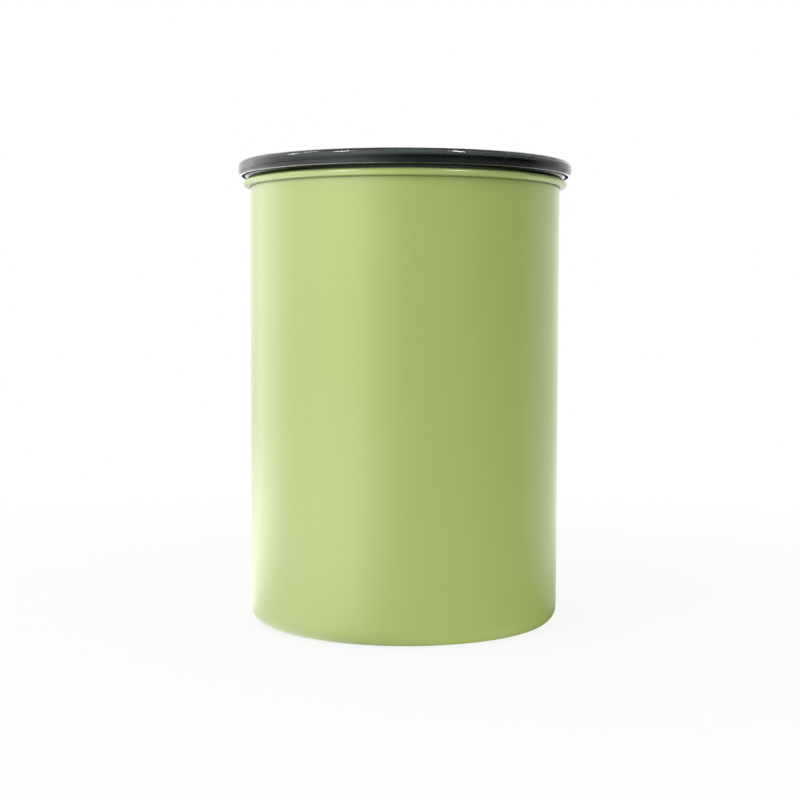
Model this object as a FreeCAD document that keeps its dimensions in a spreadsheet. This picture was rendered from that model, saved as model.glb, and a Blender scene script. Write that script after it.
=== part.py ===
import FreeCAD, Part
import math
import os
import Sketcher

# Coffee canister with valve: a painted can, a smoke lid, and inside an inner lid that slides down the can
# and lets the air out through a valve worked by its folding handle.
# The origin is the middle of the foot, +Z is up and the front of the can looks along -Y.

# Driving sizes in millimetres. A name that ends in angle is in degrees, and one that ends in count or share
# is a plain number.
SIZES = {
    # Can
    "can_outer_dia": 120.0,
    "can_height": 171.0,
    "can_wall": 0.7,
    "can_corner_radius": 6.2,
    "foot_ring_width": 6.0,
    "base_slope_run": 3.2,
    "base_rise": 1.6,
    "curl_width": 3.5,
    "curl_height": 2.7,
    "curl_gap": 0.3,
    # Outer lid
    "lid_seat_gap": 0.1,
    "lid_overhang": 2.2,
    "lid_rim_height": 6.7,
    "lid_rim_top_wall": 1.7,
    "lid_skirt_rise": 1.2,
    "lid_skirt_wall": 1.7,
    "lid_edge_top_radius": 1.9,
    "lid_edge_low_radius": 3.9,
    "lid_edge_low_rise": 2.4,
    "lid_step_wall": 2.0,
    "lid_step_taper": 1.1,
    "lid_step_taper_rise": 1.3,
    "lid_seat_reach": 0.55,
    "lid_recess_depth": 2.3,
    "lid_plate_thickness": 1.9,
    "lid_plug_gap": 0.5,
    "lid_plug_wall": 1.8,
    "lid_plug_depth": 6.3,
    "lid_groove_drop": 1.7,
    "lid_groove_width": 2.6,
    "lid_groove_depth": 1.0,
    "lid_seal_gap": 0.1,
    "lid_round_radius": 0.6,
    "channel_round_share": 0.38,
    "skirt_round_share": 0.4,
    # Inner lid
    "plunger_side_gap": 1.7,
    "plunger_groove_depth": 2.6,
    "plunger_rim_wall": 2.0,
    "plunger_rim_height": 13.0,
    "plunger_flange_thickness": 1.8,
    "plunger_plate_thickness": 2.2,
    "plunger_corner_radius": 1.5,
    "plunger_edge_radius": 0.6,
    "rib_width": 1.6,
    "rib_count": 8,
    "tower_wall": 2.2,
    "tower_ceiling": 2.0,
    "fit_gap": 0.02,
    # Gasket
    "gasket_band": 1.5,
    "gasket_can_gap": 0.2,
    "lip_inset": 0.8,
    "lip_spacing": 4.8,
    "lip_rake": 2.0,
    "lip_root_thickness": 1.4,
    "lip_tip_thickness": 0.8,
    # Valve
    "valve_lift": 2.5,
    "valve_flush_margin": 0.5,
    "valve_pocket_gap": 2.0,
    "seal_dia": 25.0,
    "seal_thickness": 2.2,
    "seal_gap": 0.05,
    "seal_bead_width": 1.7,
    "seal_bead_height": 0.5,
    "washer_dia": 18.0,
    "washer_thickness": 0.8,
    "screw_dia": 2.0,
    "screw_head_dia": 6.4,
    "screw_head_height": 1.4,
    "screw_length": 8.0,
    "screw_hole_margin": 0.8,
    "vent_dia": 3.0,
    "vent_ring_dia": 16.4,
    "vent_count": 8,
    "guide_wall": 1.8,
    "guide_height": 3.0,
    "stem_dia": 5.0,
    "stem_clearance": 0.08,
    "spigot_dia": 3.4,
    "spigot_clearance": 0.05,
    "cap_dia": 20.0,
    "cap_wall": 1.6,
    "cap_thickness": 2.0,
    "cap_dome": 0.8,
    "skirt_clearance": 0.3,
    "wing_thickness": 2.0,
    "wing_width": 8.0,
    "wing_gap": 0.2,
    "wing_corner_radius": 1.2,
    "spring_height": 6.5,
    "spring_wire_dia": 0.7,
    "spring_guide_gap": 0.8,
    "spring_seat_gap": 0.03,
    "spring_turn_count": 4,
    # Handle
    "handle_headroom": 3.0,
    "handle_tilt_angle": 14.0,
    "handle_rest_gap": 0.1,
    "handle_thickness": 6.0,
    "finger_gap": 12.0,
    "grip_width": 58.0,
    "grip_depth": 7.5,
    "side_width": 7.0,
    "flare_width": 5.6,
    "flare_start_share": 0.22,
    "flare_end_share": 0.585,
    "loop_corner_share": 0.65,
    "bend_share": 0.9,
    "edge_round_share": 0.44,
    "hub_cap_gap": 1.5,
    "hub_width": 5.0,
    "cam_radius": 4.8,
    "cam_gap": 0.12,
    "ear_gap": 0.5,
    "ear_thickness": 3.2,
    "ear_width": 9.0,
    "pin_dia": 3.0,
    "pin_chamfer": 0.3,
    "pin_proud": 0.4,
    "pin_hub_clearance": 0.06,
}

# Two edges count as the same when they lie this close, in millimetres
MATCH_TOLERANCE = 1e-4

# Points per turn at which the spring's wire is measured
SPRING_SAMPLES = 48

doc = FreeCAD.newDocument("coffee_canister")
sheet = doc.addObject("Spreadsheet::Sheet", "Sizes")
for row, (alias, number) in enumerate(SIZES.items(), start=1):
    sheet.set(f"A{row}", alias)
    sheet.set(f"B{row}", str(number))
    sheet.setAlias(f"B{row}", alias)
doc.recompute()


class Size:
    """A number together with the sheet formula that drives it."""

    def __init__(self, number, formula):
        self.number = number
        self.formula = formula

    def __add__(self, other):
        other = as_size(other)
        return Size(self.number + other.number, f"({self.formula} + {other.formula})")

    def __sub__(self, other):
        other = as_size(other)
        return Size(self.number - other.number, f"({self.formula} - {other.formula})")

    def __mul__(self, other):
        other = as_size(other)
        return Size(self.number * other.number, f"({self.formula} * {other.formula})")

    def __truediv__(self, other):
        other = as_size(other)
        return Size(self.number / other.number, f"({self.formula} / {other.formula})")

    def __neg__(self):
        return Size(-self.number, f"(-{self.formula})")


def as_size(value):
    return value if isinstance(value, Size) else Size(value, str(value))


def root(value):
    return Size(math.sqrt(value.number), f"sqrt({value.formula})")


def least(first, second):
    return Size(min(first.number, second.number), f"min({first.formula}; {second.formula})")


def sine(angle):
    return Size(math.sin(math.radians(angle.number)), f"sin({angle.formula})")


def cosine(angle):
    return Size(math.cos(math.radians(angle.number)), f"cos({angle.formula})")


class SheetSizes:
    """Gives each sheet cell as a Size under its alias."""

    def __getattr__(self, alias):
        return Size(SIZES[alias], f"Sizes.{alias}")


size = SheetSizes()
zero = as_size(0)


def bind(target, path, value):
    target.setExpression(path, value.formula)


def new_body(label, height=None):
    body = doc.addObject("PartDesign::Body", label)
    body.Label = label
    if height is not None:
        bind(body, "Placement.Base.z", height)
    return body


def origin_feature(body, role):
    return next(item for item in body.Origin.OriginFeatures if item.Role == role)


def new_sketch(body, role, name, offset=None):
    sketch = body.newObject("Sketcher::SketchObject", name)
    sketch.AttachmentSupport = [(origin_feature(body, role), "")]
    sketch.MapMode = "FlatFace"
    if offset is not None:
        bind(sketch, "AttachmentOffset.Base.z", offset)
    return sketch


def arc_between(start, end, radius, turn):
    """Arc under a half circle from start to end, turning left for turn 1 and right for turn -1."""
    chord = end - start
    middle = (start + end) * 0.5
    left = FreeCAD.Vector(-chord.y, chord.x, 0).normalize()
    rise = math.sqrt(max(radius ** 2 - (chord.Length / 2) ** 2, 0))
    centre = middle + left * (turn * rise)
    first, last = (start, end) if turn > 0 else (end, start)
    first_angle = math.atan2(first.y - centre.y, first.x - centre.x)
    last_angle = math.atan2(last.y - centre.y, last.x - centre.x)
    if last_angle < first_angle:
        last_angle += 2 * math.pi
    circle = Part.Circle(centre, FreeCAD.Vector(0, 0, 1), radius)
    return Part.ArcOfCircle(circle, first_angle, last_angle)


def fix_point(sketch, geometry, place, name, x, y):
    """Ties a sketch point to its sheet formulas, or to an axis where a coordinate is zero."""
    for kind, axis, value in (("DistanceX", -2, x), ("DistanceY", -1, y)):
        if value.number == 0:
            sketch.addConstraint(Sketcher.Constraint("PointOnObject", geometry, place, axis))
            continue
        ends = (-1, 1, geometry, place) if value.number > 0 else (geometry, place, -1, 1)
        index = sketch.addConstraint(Sketcher.Constraint(kind, *ends, abs(value.number)))
        label = f"{name}_{kind[-1].lower()}"
        sketch.renameConstraint(index, label)
        bind(sketch, f"Constraints.{label}", value if value.number > 0 else -value)


def draw_outline(sketch, steps):
    """Closed outline. A step (x, y) is a straight run to that point; (x, y, radius, turn) is an arc to it."""
    points = [FreeCAD.Vector(step[0].number, step[1].number, 0) for step in steps]
    pieces = []
    for index, step in enumerate(steps):
        start, end = points[index - 1], points[index]
        if len(step) == 2:
            pieces.append((sketch.addGeometry(Part.LineSegment(start, end)), 1, 2))
        else:
            radius, turn = step[2], step[3]
            number = sketch.addGeometry(arc_between(start, end, radius.number, turn))
            pieces.append((number, 1, 2) if turn > 0 else (number, 2, 1))
    for index, (geometry, begin, end) in enumerate(pieces):
        after, after_begin, _ = pieces[(index + 1) % len(pieces)]
        sketch.addConstraint(Sketcher.Constraint("Coincident", geometry, end, after, after_begin))
    for index, (step, (geometry, begin, end)) in enumerate(zip(steps, pieces)):
        fix_point(sketch, geometry, end, f"point_{index}", step[0], step[1])
        if len(step) > 2:
            number = sketch.addConstraint(Sketcher.Constraint("Radius", geometry, step[2].number))
            sketch.renameConstraint(number, f"radius_{index}")
            bind(sketch, f"Constraints.radius_{index}", step[2])


def draw_circle(sketch, x, y, radius):
    centre = FreeCAD.Vector(x.number, y.number, 0)
    geometry = sketch.addGeometry(Part.Circle(centre, FreeCAD.Vector(0, 0, 1), radius.number))
    fix_point(sketch, geometry, 3, f"centre_{geometry}", x, y)
    number = sketch.addConstraint(Sketcher.Constraint("Radius", geometry, radius.number))
    sketch.renameConstraint(number, f"radius_{geometry}")
    bind(sketch, f"Constraints.radius_{geometry}", radius)


def revolve(body, name, steps, axis="V_Axis"):
    """Turns an outline given as (radius, height) steps round the body's own axis."""
    sketch = new_sketch(body, "XZ_Plane", f"{name}_profile")
    draw_outline(sketch, steps)
    feature = body.newObject("PartDesign::Revolution", name)
    feature.Profile = sketch
    feature.ReferenceAxis = (sketch, [axis])
    feature.Angle = 360
    doc.recompute()
    return feature


def pad(body, name, sketch, length, both_ways=False):
    feature = body.newObject("PartDesign::Pad", name)
    feature.Profile = sketch
    feature.Midplane = both_ways
    bind(feature, "Length", length)
    doc.recompute()
    return feature


def drill(body, name, sketch):
    """Cuts a sketch right through the body both ways and makes sure that something was cut."""
    before = body.Tip.Shape.Volume
    feature = body.newObject("PartDesign::Pocket", name)
    feature.Profile = sketch
    feature.Type = "ThroughAll"
    feature.Midplane = True
    doc.recompute()
    if feature.Shape.Volume >= before:
        raise RuntimeError(f"{name} cut nothing")
    return feature


def mirror(body, name, feature, role):
    copy = body.newObject("PartDesign::Mirrored", name)
    copy.Originals = [feature]
    copy.MirrorPlane = (origin_feature(body, role), [""])
    body.Tip = copy
    doc.recompute()
    return copy


def polar(body, name, feature, count):
    pattern = body.newObject("PartDesign::PolarPattern", name)
    pattern.Originals = [feature]
    pattern.Axis = (origin_feature(body, "Z_Axis"), [""])
    pattern.Angle = 360
    bind(pattern, "Occurrences", count)
    body.Tip = pattern
    doc.recompute()
    return pattern


def ring_edges(feature, *rings):
    """Names of the round edges that lie at the given (radius, height) pairs."""
    names = []
    for radius, height in rings:
        found = [
            f"Edge{number}"
            for number, edge in enumerate(feature.Shape.Edges, start=1)
            if isinstance(edge.Curve, Part.Circle)
            and abs(edge.Curve.Radius - radius.number) < MATCH_TOLERANCE
            and abs(edge.Curve.Center.z - height.number) < MATCH_TOLERANCE
        ]
        if not found:
            raise RuntimeError(f"no edge at radius {radius.number} and height {height.number}")
        names += found
    return names


def upright_edges(feature, *places):
    """Names of the straight edges along Z that stand at the given (x, y) places."""
    names = []
    for x, y in places:
        found = [
            f"Edge{number}"
            for number, edge in enumerate(feature.Shape.Edges, start=1)
            if all(
                abs(vertex.X - x.number) < MATCH_TOLERANCE and abs(vertex.Y - y.number) < MATCH_TOLERANCE
                for vertex in edge.Vertexes
            )
        ]
        if not found:
            raise RuntimeError(f"no upright edge at {x.number}, {y.number}")
        names += found
    return names


def round_off(body, name, base, edges, radius):
    feature = body.newObject("PartDesign::Fillet", name)
    feature.Base = (base, edges)
    bind(feature, "Radius", radius)
    doc.recompute()
    return feature


# Shared places, worked out from the driving sizes

can_radius = size.can_outer_dia / 2
bore_radius = can_radius - size.can_wall
curl_radius = size.curl_height / 2
curl_inner = bore_radius + curl_radius
curl_outer = bore_radius + size.curl_width - curl_radius

lid_seat = size.can_height + size.lid_seat_gap
lid_top = lid_seat + size.lid_rim_height
lid_plate_top = lid_top - size.lid_recess_depth
lid_plate_under = lid_plate_top - size.lid_plate_thickness
lid_radius = bore_radius + size.curl_width + size.lid_overhang
plug_radius = bore_radius - size.lid_plug_gap
plug_groove_radius = plug_radius - size.lid_groove_depth
plug_groove_top = lid_seat - size.lid_groove_drop
plug_groove_foot = plug_groove_top - size.lid_groove_width

# Heights inside the inner lid are counted from its underside
flange_radius = bore_radius - size.plunger_side_gap
groove_radius = flange_radius - size.plunger_groove_depth
dish_radius = groove_radius - size.plunger_rim_wall
groove_top = size.plunger_rim_height - size.plunger_flange_thickness
seal_radius = size.seal_dia / 2
pocket_radius = seal_radius + size.valve_pocket_gap
tower_radius = pocket_radius + size.tower_wall
valve_stack = size.seal_thickness + size.washer_thickness + size.screw_head_height
valve_seat = size.seal_gap + valve_stack + size.valve_lift + size.valve_flush_margin
tower_top = valve_seat + size.tower_ceiling
stem_radius = size.stem_dia / 2
guide_radius = stem_radius + size.stem_clearance + size.guide_wall
seal_top = valve_seat - size.seal_gap
seal_under = seal_top - size.seal_thickness
stem_shoulder = seal_top - size.seal_bead_height
washer_under = seal_under - size.washer_thickness
cap_radius = size.cap_dia / 2
cap_under = tower_top + size.spring_height
skirt_foot = tower_top + size.valve_lift + size.skirt_clearance
wing_top = skirt_foot + size.wing_thickness
pivot_height = wing_top + size.cam_radius - size.valve_lift / 2 + size.cam_gap

hub_inner = cap_radius + size.hub_cap_gap
hub_outer = hub_inner + size.hub_width
ear_inner = hub_outer + size.ear_gap
ear_outer = ear_inner + size.ear_thickness
pin_radius = size.pin_dia / 2
handle_length = dish_radius - size.finger_gap
handle_half = size.handle_thickness / 2

# Each cam is a round disc set off its pivot, so that folding the handle up presses the wings down evenly.
# The offset is counted in the handle's own frame, where the loop lies level.
tilt_cosine = cosine(size.handle_tilt_angle)
tilt_sine = sine(size.handle_tilt_angle)
sweep_half_angle = (size.handle_tilt_angle + 90) / 2
cam_rest_up = size.valve_lift / 2
cam_rest_back = cam_rest_up * cosine(sweep_half_angle) / sine(sweep_half_angle)
cam_back = cam_rest_back * tilt_cosine + cam_rest_up * tilt_sine
cam_up = cam_rest_up * tilt_cosine - cam_rest_back * tilt_sine

# The folded grip comes to lie on the ribs of the inner lid
handle_drop = handle_length * tilt_sine + (handle_half - cam_up) * tilt_cosine
rib_top = pivot_height - handle_drop - size.handle_rest_gap

# The inner lid rests as high as its upright handle fits under the outer lid
plunger_height = lid_plate_under - size.handle_headroom - handle_length - pivot_height
pivot_level = plunger_height + pivot_height


def canister_shell():
    """Deep drawn can: pushed-up base panel, rounded foot, straight wall and an open, flattened curl."""
    body = new_body("canister_shell")
    wall = size.can_wall
    corner = size.can_corner_radius
    foot_outer = can_radius - corner
    foot_inner = foot_outer - size.foot_ring_width
    panel_radius = foot_inner - size.base_slope_run
    curl_inside = curl_radius - wall
    curl_top = size.can_height
    curl_middle = curl_top - curl_radius
    curl_foot = curl_top - size.curl_height
    curl_end = can_radius + size.curl_gap
    revolve(body, "can_form", [
        (zero, size.base_rise),
        (panel_radius, size.base_rise),
        (foot_inner, zero),
        (foot_outer, zero),
        (can_radius, corner, corner, 1),
        (can_radius, curl_middle),
        (curl_inner, curl_top - wall, curl_inside, -1),
        (curl_outer, curl_top - wall),
        (curl_outer + curl_inside, curl_middle, curl_inside, -1),
        (curl_outer, curl_foot + wall, curl_inside, -1),
        (curl_end, curl_foot + wall),
        (curl_end, curl_foot),
        (curl_outer, curl_foot),
        (curl_outer + curl_radius, curl_middle, curl_radius, 1),
        (curl_outer, curl_top, curl_radius, 1),
        (curl_inner, curl_top),
        (bore_radius, curl_middle, curl_radius, 1),
        (bore_radius, corner),
        (foot_outer, wall, corner - wall, -1),
        (foot_inner, wall),
        (panel_radius, size.base_rise + wall),
        (zero, size.base_rise + wall),
    ])
    return body


def outer_lid():
    """Clear lid: recessed top, tapered step that sits on the curl, rounded edge clear of it, grooved plug."""
    body = new_body("outer_lid")
    plug_inner = plug_radius - size.lid_plug_wall
    plug_foot = lid_seat - size.lid_plug_depth
    step_outer = curl_outer + size.lid_seat_reach
    seat_outer = step_outer - size.lid_step_taper
    recess_radius = step_outer - size.lid_step_wall
    channel_top = lid_top - size.lid_rim_top_wall
    skirt_inner = lid_radius - size.lid_skirt_wall
    skirt_foot_height = lid_seat + size.lid_skirt_rise
    low_radius = size.lid_edge_low_radius
    low_rise = size.lid_edge_low_rise
    edge_radius = lid_radius - low_radius + root(low_radius * low_radius - low_rise * low_rise)
    top_radius = size.lid_edge_top_radius
    form = revolve(body, "lid_form", [
        (zero, lid_plate_under),
        (plug_inner, lid_plate_under),
        (plug_inner, plug_foot),
        (plug_radius, plug_foot),
        (plug_radius, plug_groove_foot),
        (plug_groove_radius, plug_groove_foot),
        (plug_groove_radius, plug_groove_top),
        (plug_radius, plug_groove_top),
        (plug_radius, lid_seat),
        (seat_outer, lid_seat),
        (step_outer, lid_seat + size.lid_step_taper_rise),
        (step_outer, channel_top),
        (skirt_inner, channel_top),
        (skirt_inner, skirt_foot_height),
        (edge_radius, skirt_foot_height),
        (lid_radius, skirt_foot_height + low_rise, low_radius, 1),
        (lid_radius, lid_top - top_radius),
        (lid_radius - top_radius, lid_top, top_radius, 1),
        (recess_radius, lid_top),
        (recess_radius, lid_plate_top),
        (zero, lid_plate_top),
    ])
    corners = ring_edges(
        form,
        (recess_radius, lid_top),
        (recess_radius, lid_plate_top),
        (plug_inner, lid_plate_under),
        (plug_inner, plug_foot),
        (plug_radius, plug_foot),
    )
    rounded = round_off(body, "lid_rounding", form, corners, size.lid_round_radius)
    corners = ring_edges(rounded, (step_outer, channel_top), (skirt_inner, channel_top))
    hollow = round_off(
        body, "channel_rounding", rounded, corners, (skirt_inner - step_outer) * size.channel_round_share
    )
    rims = ring_edges(hollow, (skirt_inner, skirt_foot_height), (edge_radius, skirt_foot_height))
    round_off(body, "skirt_rounding", hollow, rims, (edge_radius - skirt_inner) * size.skirt_round_share)
    return body


def lid_seal():
    """Soft ring in the groove of the lid's plug, crowned towards the can."""
    body = new_body("lid_seal")
    inner = plug_groove_radius + size.fit_gap
    foot = plug_groove_foot + size.fit_gap
    top = plug_groove_top - size.fit_gap
    crown = size.lid_plug_gap - size.lid_seal_gap
    width = top - foot
    crown_radius = width * width / (crown * 8) + crown / 2
    revolve(body, "seal_form", [
        (inner, foot),
        (plug_radius, foot),
        (plug_radius, top, crown_radius, 1),
        (inner, top),
    ])
    return body


def plunger_plate():
    """Inner lid: dished plate with a gasket groove round its rim, ribs, a valve tower and two hinge ears."""
    body = new_body("plunger_plate", plunger_height)
    plate = size.plunger_plate_thickness
    flange = size.plunger_flange_thickness
    rim = size.plunger_rim_height
    bore = stem_radius + size.stem_clearance
    form = revolve(body, "dish_form", [
        (bore, valve_seat),
        (pocket_radius, valve_seat),
        (pocket_radius, zero),
        (flange_radius, zero),
        (flange_radius, flange),
        (groove_radius, flange),
        (groove_radius, groove_top),
        (flange_radius, groove_top),
        (flange_radius, rim),
        (dish_radius, rim),
        (dish_radius, plate),
        (tower_radius, plate),
        (tower_radius, tower_top),
        (guide_radius, tower_top),
        (guide_radius, tower_top + size.guide_height),
        (bore, tower_top + size.guide_height),
    ])
    corners = ring_edges(form, (dish_radius, plate), (tower_radius, plate))
    blend = round_off(body, "dish_corners", form, corners, size.plunger_corner_radius)
    edges = ring_edges(blend, (flange_radius, rim), (dish_radius, rim), (tower_radius, tower_top))
    edges += ring_edges(blend, (flange_radius, zero), (pocket_radius, zero))
    round_off(body, "dish_edges", blend, edges, size.plunger_edge_radius)

    tower_middle = tower_radius - size.tower_wall / 2
    rim_middle = dish_radius + size.plunger_rim_wall / 2
    rib_half = size.rib_width / 2
    rib_sketch = new_sketch(body, "XY_Plane", "rib_outline")
    draw_outline(rib_sketch, [
        (tower_middle, -rib_half),
        (rim_middle, -rib_half),
        (rim_middle, rib_half),
        (tower_middle, rib_half),
    ])
    rib = pad(body, "rib", rib_sketch, rib_top)
    polar(body, "ribs", rib, size.rib_count)

    ear_half = size.ear_width / 2
    ear_sketch = new_sketch(body, "YZ_Plane", "ear_outline", ear_inner)
    draw_outline(ear_sketch, [
        (-ear_half, plate / 2),
        (ear_half, plate / 2),
        (ear_half, pivot_height),
        (zero, pivot_height + ear_half, ear_half, 1),
        (-ear_half, pivot_height, ear_half, 1),
    ])
    ear = pad(body, "ear", ear_sketch, size.ear_thickness)
    mirror(body, "ears", ear, "YZ_Plane")

    foot_sketch = new_sketch(body, "XY_Plane", "ear_foot_outline")
    draw_outline(foot_sketch, [
        (tower_middle, -ear_half),
        (ear_outer, -ear_half),
        (ear_outer, ear_half),
        (tower_middle, ear_half),
    ])
    foot = pad(body, "ear_foot", foot_sketch, tower_top)
    mirror(body, "ear_feet", foot, "YZ_Plane")

    pin_sketch = new_sketch(body, "YZ_Plane", "pin_bore_outline")
    draw_circle(pin_sketch, zero, pivot_height, pin_radius + size.fit_gap)
    drill(body, "pin_bores", pin_sketch)

    vent_sketch = new_sketch(body, "XY_Plane", "vent_outline")
    draw_circle(vent_sketch, size.vent_ring_dia / 2, zero, size.vent_dia / 2)
    vent = drill(body, "vent", vent_sketch)
    polar(body, "vents", vent, size.vent_count)
    return body


def wiper_gasket():
    """Silicone ring in the rim groove, with two thin lips raked upwards against the can."""
    body = new_body("wiper_gasket", plunger_height)
    inner = groove_radius + size.fit_gap
    band = inner + size.gasket_band
    reach = bore_radius - size.gasket_can_gap
    foot = size.plunger_flange_thickness + size.fit_gap
    top = groove_top - size.fit_gap
    steps = [(inner, foot), (band, foot)]
    for lip in (foot + size.lip_inset, foot + size.lip_inset + size.lip_spacing):
        tip = lip + size.lip_rake
        steps += [
            (band, lip),
            (reach, tip),
            (reach, tip + size.lip_tip_thickness),
            (band, lip + size.lip_root_thickness),
        ]
    steps += [(band, top), (inner, top)]
    revolve(body, "gasket_form", steps)
    return body


def valve_stem():
    """Button with a domed cap and skirt, the stem below it, and two wings for the cams to press on."""
    body = new_body("valve_stem", plunger_height)
    spigot = size.spigot_dia / 2
    hole = size.screw_dia / 2 + size.fit_gap
    skirt_inner = cap_radius - size.cap_wall
    cap_edge = cap_under + size.cap_thickness
    dome = size.cap_dome
    dome_radius = (cap_radius * cap_radius + dome * dome) / (dome * 2)
    spigot_foot = washer_under + size.fit_gap
    hole_top = washer_under + size.screw_length + size.screw_hole_margin
    revolve(body, "stem_form", [
        (hole, spigot_foot),
        (spigot, spigot_foot),
        (spigot, stem_shoulder),
        (stem_radius, stem_shoulder),
        (stem_radius, cap_under),
        (skirt_inner, cap_under),
        (skirt_inner, skirt_foot),
        (cap_radius, skirt_foot),
        (cap_radius, cap_edge),
        (zero, cap_edge + dome, dome_radius, 1),
        (zero, hole_top),
        (hole, hole_top),
    ])
    wing_half = size.wing_width / 2
    wing_start = cap_radius - size.cap_wall / 2
    wing_end = ear_inner - size.wing_gap
    sketch = new_sketch(body, "XY_Plane", "wing_outline", skirt_foot)
    corner = size.wing_corner_radius
    draw_outline(sketch, [
        (wing_start, -wing_half),
        (wing_end - corner, -wing_half),
        (wing_end, corner - wing_half, corner, 1),
        (wing_end, wing_half - corner),
        (wing_end - corner, wing_half, corner, 1),
        (wing_start, wing_half),
    ])
    wing = pad(body, "wing", sketch, size.wing_thickness)
    mirror(body, "wings", wing, "YZ_Plane")
    return body


def valve_seal():
    """Silicone disc with a raised bead that closes the vent ring from below."""
    body = new_body("valve_seal", plunger_height)
    bore = size.spigot_dia / 2 + size.spigot_clearance
    bead_inner = seal_radius - size.seal_bead_width
    revolve(body, "disc_form", [
        (bore, seal_under),
        (seal_radius, seal_under),
        (seal_radius, seal_top),
        (bead_inner, seal_top),
        (bead_inner, stem_shoulder),
        (bore, stem_shoulder),
    ])
    return body


def seal_washer():
    """Flat backing washer under the silicone disc."""
    body = new_body("seal_washer", plunger_height)
    bore = size.spigot_dia / 2 + size.spigot_clearance
    washer_radius = size.washer_dia / 2
    revolve(body, "washer_form", [
        (bore, washer_under),
        (washer_radius, washer_under),
        (washer_radius, seal_under),
        (bore, seal_under),
    ])
    return body


def stem_screw():
    """Pan head screw that holds disc and washer on the stem."""
    body = new_body("stem_screw", plunger_height)
    shank = size.screw_dia / 2
    head = size.screw_head_dia / 2
    height = size.screw_head_height
    edge = height / 2
    crown_rise = height - edge
    crown_radius = (head * head + crown_rise * crown_rise) / (crown_rise * 2)
    revolve(body, "screw_form", [
        (zero, washer_under - height),
        (head, washer_under - edge, crown_radius, 1),
        (head, washer_under),
        (shank, washer_under),
        (shank, washer_under + size.screw_length),
        (zero, washer_under + size.screw_length),
    ])
    return body


def pull_handle():
    """Loop handle lying down towards the rim, with an eccentric round cam on each hub."""
    body = new_body("pull_handle")
    body.Placement = FreeCAD.Placement(
        FreeCAD.Vector(0, 0, 0), FreeCAD.Rotation(FreeCAD.Vector(-1, 0, 0), SIZES["handle_tilt_angle"])
    )
    bind(body, "Placement.Rotation.Angle", size.handle_tilt_angle)
    bind(body, "Placement.Base.z", pivot_level)

    grip_half = size.grip_width / 2
    loop_half = grip_half - size.side_width
    grip_inner = handle_length - size.grip_depth

    # The inner edge of a flaring arm runs parallel to its outer edge
    flare_start = handle_length * size.flare_start_share
    flare_end = handle_length * size.flare_end_share
    flare_run = grip_half - hub_outer
    flare_rise = flare_end - flare_start
    flare_length = root(flare_run * flare_run + flare_rise * flare_rise)
    slope = flare_rise / flare_run
    inner_lift = size.flare_width * flare_length / flare_run
    inner_start = flare_start + inner_lift - size.hub_width * slope
    inner_end = flare_start + inner_lift + (loop_half - hub_outer) * slope

    # Corners and bends share the straight runs that are left beside the grip
    inner_run = grip_inner - inner_end
    loop_corner = inner_run * size.loop_corner_share
    corner = loop_corner + size.side_width
    outer_run = handle_length - flare_end
    bend_room = least(inner_run - loop_corner, outer_run - corner) * size.bend_share
    bend_radius = bend_room * flare_run / (flare_length - flare_rise)
    sketch = new_sketch(body, "XY_Plane", "loop_outline", cam_up)
    draw_outline(sketch, [
        (hub_inner, zero),
        (hub_outer, zero),
        (hub_outer, flare_start),
        (grip_half, flare_end),
        (grip_half, handle_length - corner),
        (grip_half - corner, handle_length, corner, 1),
        (zero, handle_length),
        (zero, grip_inner),
        (loop_half - loop_corner, grip_inner),
        (loop_half, grip_inner - loop_corner, loop_corner, -1),
        (loop_half, inner_end),
        (hub_inner, inner_start),
    ])
    half = pad(body, "half_loop", sketch, size.handle_thickness, both_ways=True)
    loop = mirror(body, "loop", half, "YZ_Plane")
    bends = [
        (side * x, y)
        for side in (as_size(1), as_size(-1))
        for x, y in (
            (hub_outer, flare_start),
            (grip_half, flare_end),
            (loop_half, inner_end),
            (hub_inner, inner_start),
        )
    ]
    bent = round_off(body, "loop_bends", loop, upright_edges(loop, *bends), bend_radius)
    rims = [
        f"Edge{number}"
        for number, edge in enumerate(bent.Shape.Edges, start=1)
        if all(
            abs(abs(vertex.Z - cam_up.number) - handle_half.number) < MATCH_TOLERANCE
            for vertex in edge.Vertexes
        )
        and edge.BoundBox.ZLength < MATCH_TOLERANCE
        and edge.BoundBox.YMax > MATCH_TOLERANCE
    ]
    round_off(body, "loop_rounding", bent, rims, size.hub_width * size.edge_round_share)

    cam_sketch = new_sketch(body, "YZ_Plane", "cam_outline", hub_inner)
    draw_circle(cam_sketch, -cam_back, cam_up, size.cam_radius)
    cam = pad(body, "cam", cam_sketch, size.hub_width)
    mirror(body, "cams", cam, "YZ_Plane")

    bore_sketch = new_sketch(body, "YZ_Plane", "hub_bore_outline")
    draw_circle(bore_sketch, zero, zero, pin_radius + size.pin_hub_clearance)
    drill(body, "hub_bores", bore_sketch)
    return body


def handle_pin(side, label):
    """Hinge pin through a hub and its ear, on the side given as 1 or -1."""
    body = new_body(label, pivot_level)
    chamfer = size.pin_chamfer
    outer = ear_outer + size.pin_proud
    revolve(body, f"{label}_form", [
        (hub_inner * side, zero),
        (outer * side, zero),
        (outer * side, pin_radius - chamfer),
        ((outer - chamfer) * side, pin_radius),
        ((hub_inner + chamfer) * side, pin_radius),
        (hub_inner * side, pin_radius - chamfer),
    ], axis="H_Axis")
    return body


def bent_edge(start, end, tangent):
    """Arc from start, leaving along tangent, to end."""
    chord = end - start
    half_cosine = chord.dot(tangent) / chord.Length
    apex = start + tangent * (chord.Length / (2 * half_cosine))
    middle = (start + apex * (2 * half_cosine) + end) * (1 / (2 * (1 + half_cosine)))
    return Part.Arc(start, middle, end).toShape()


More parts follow.
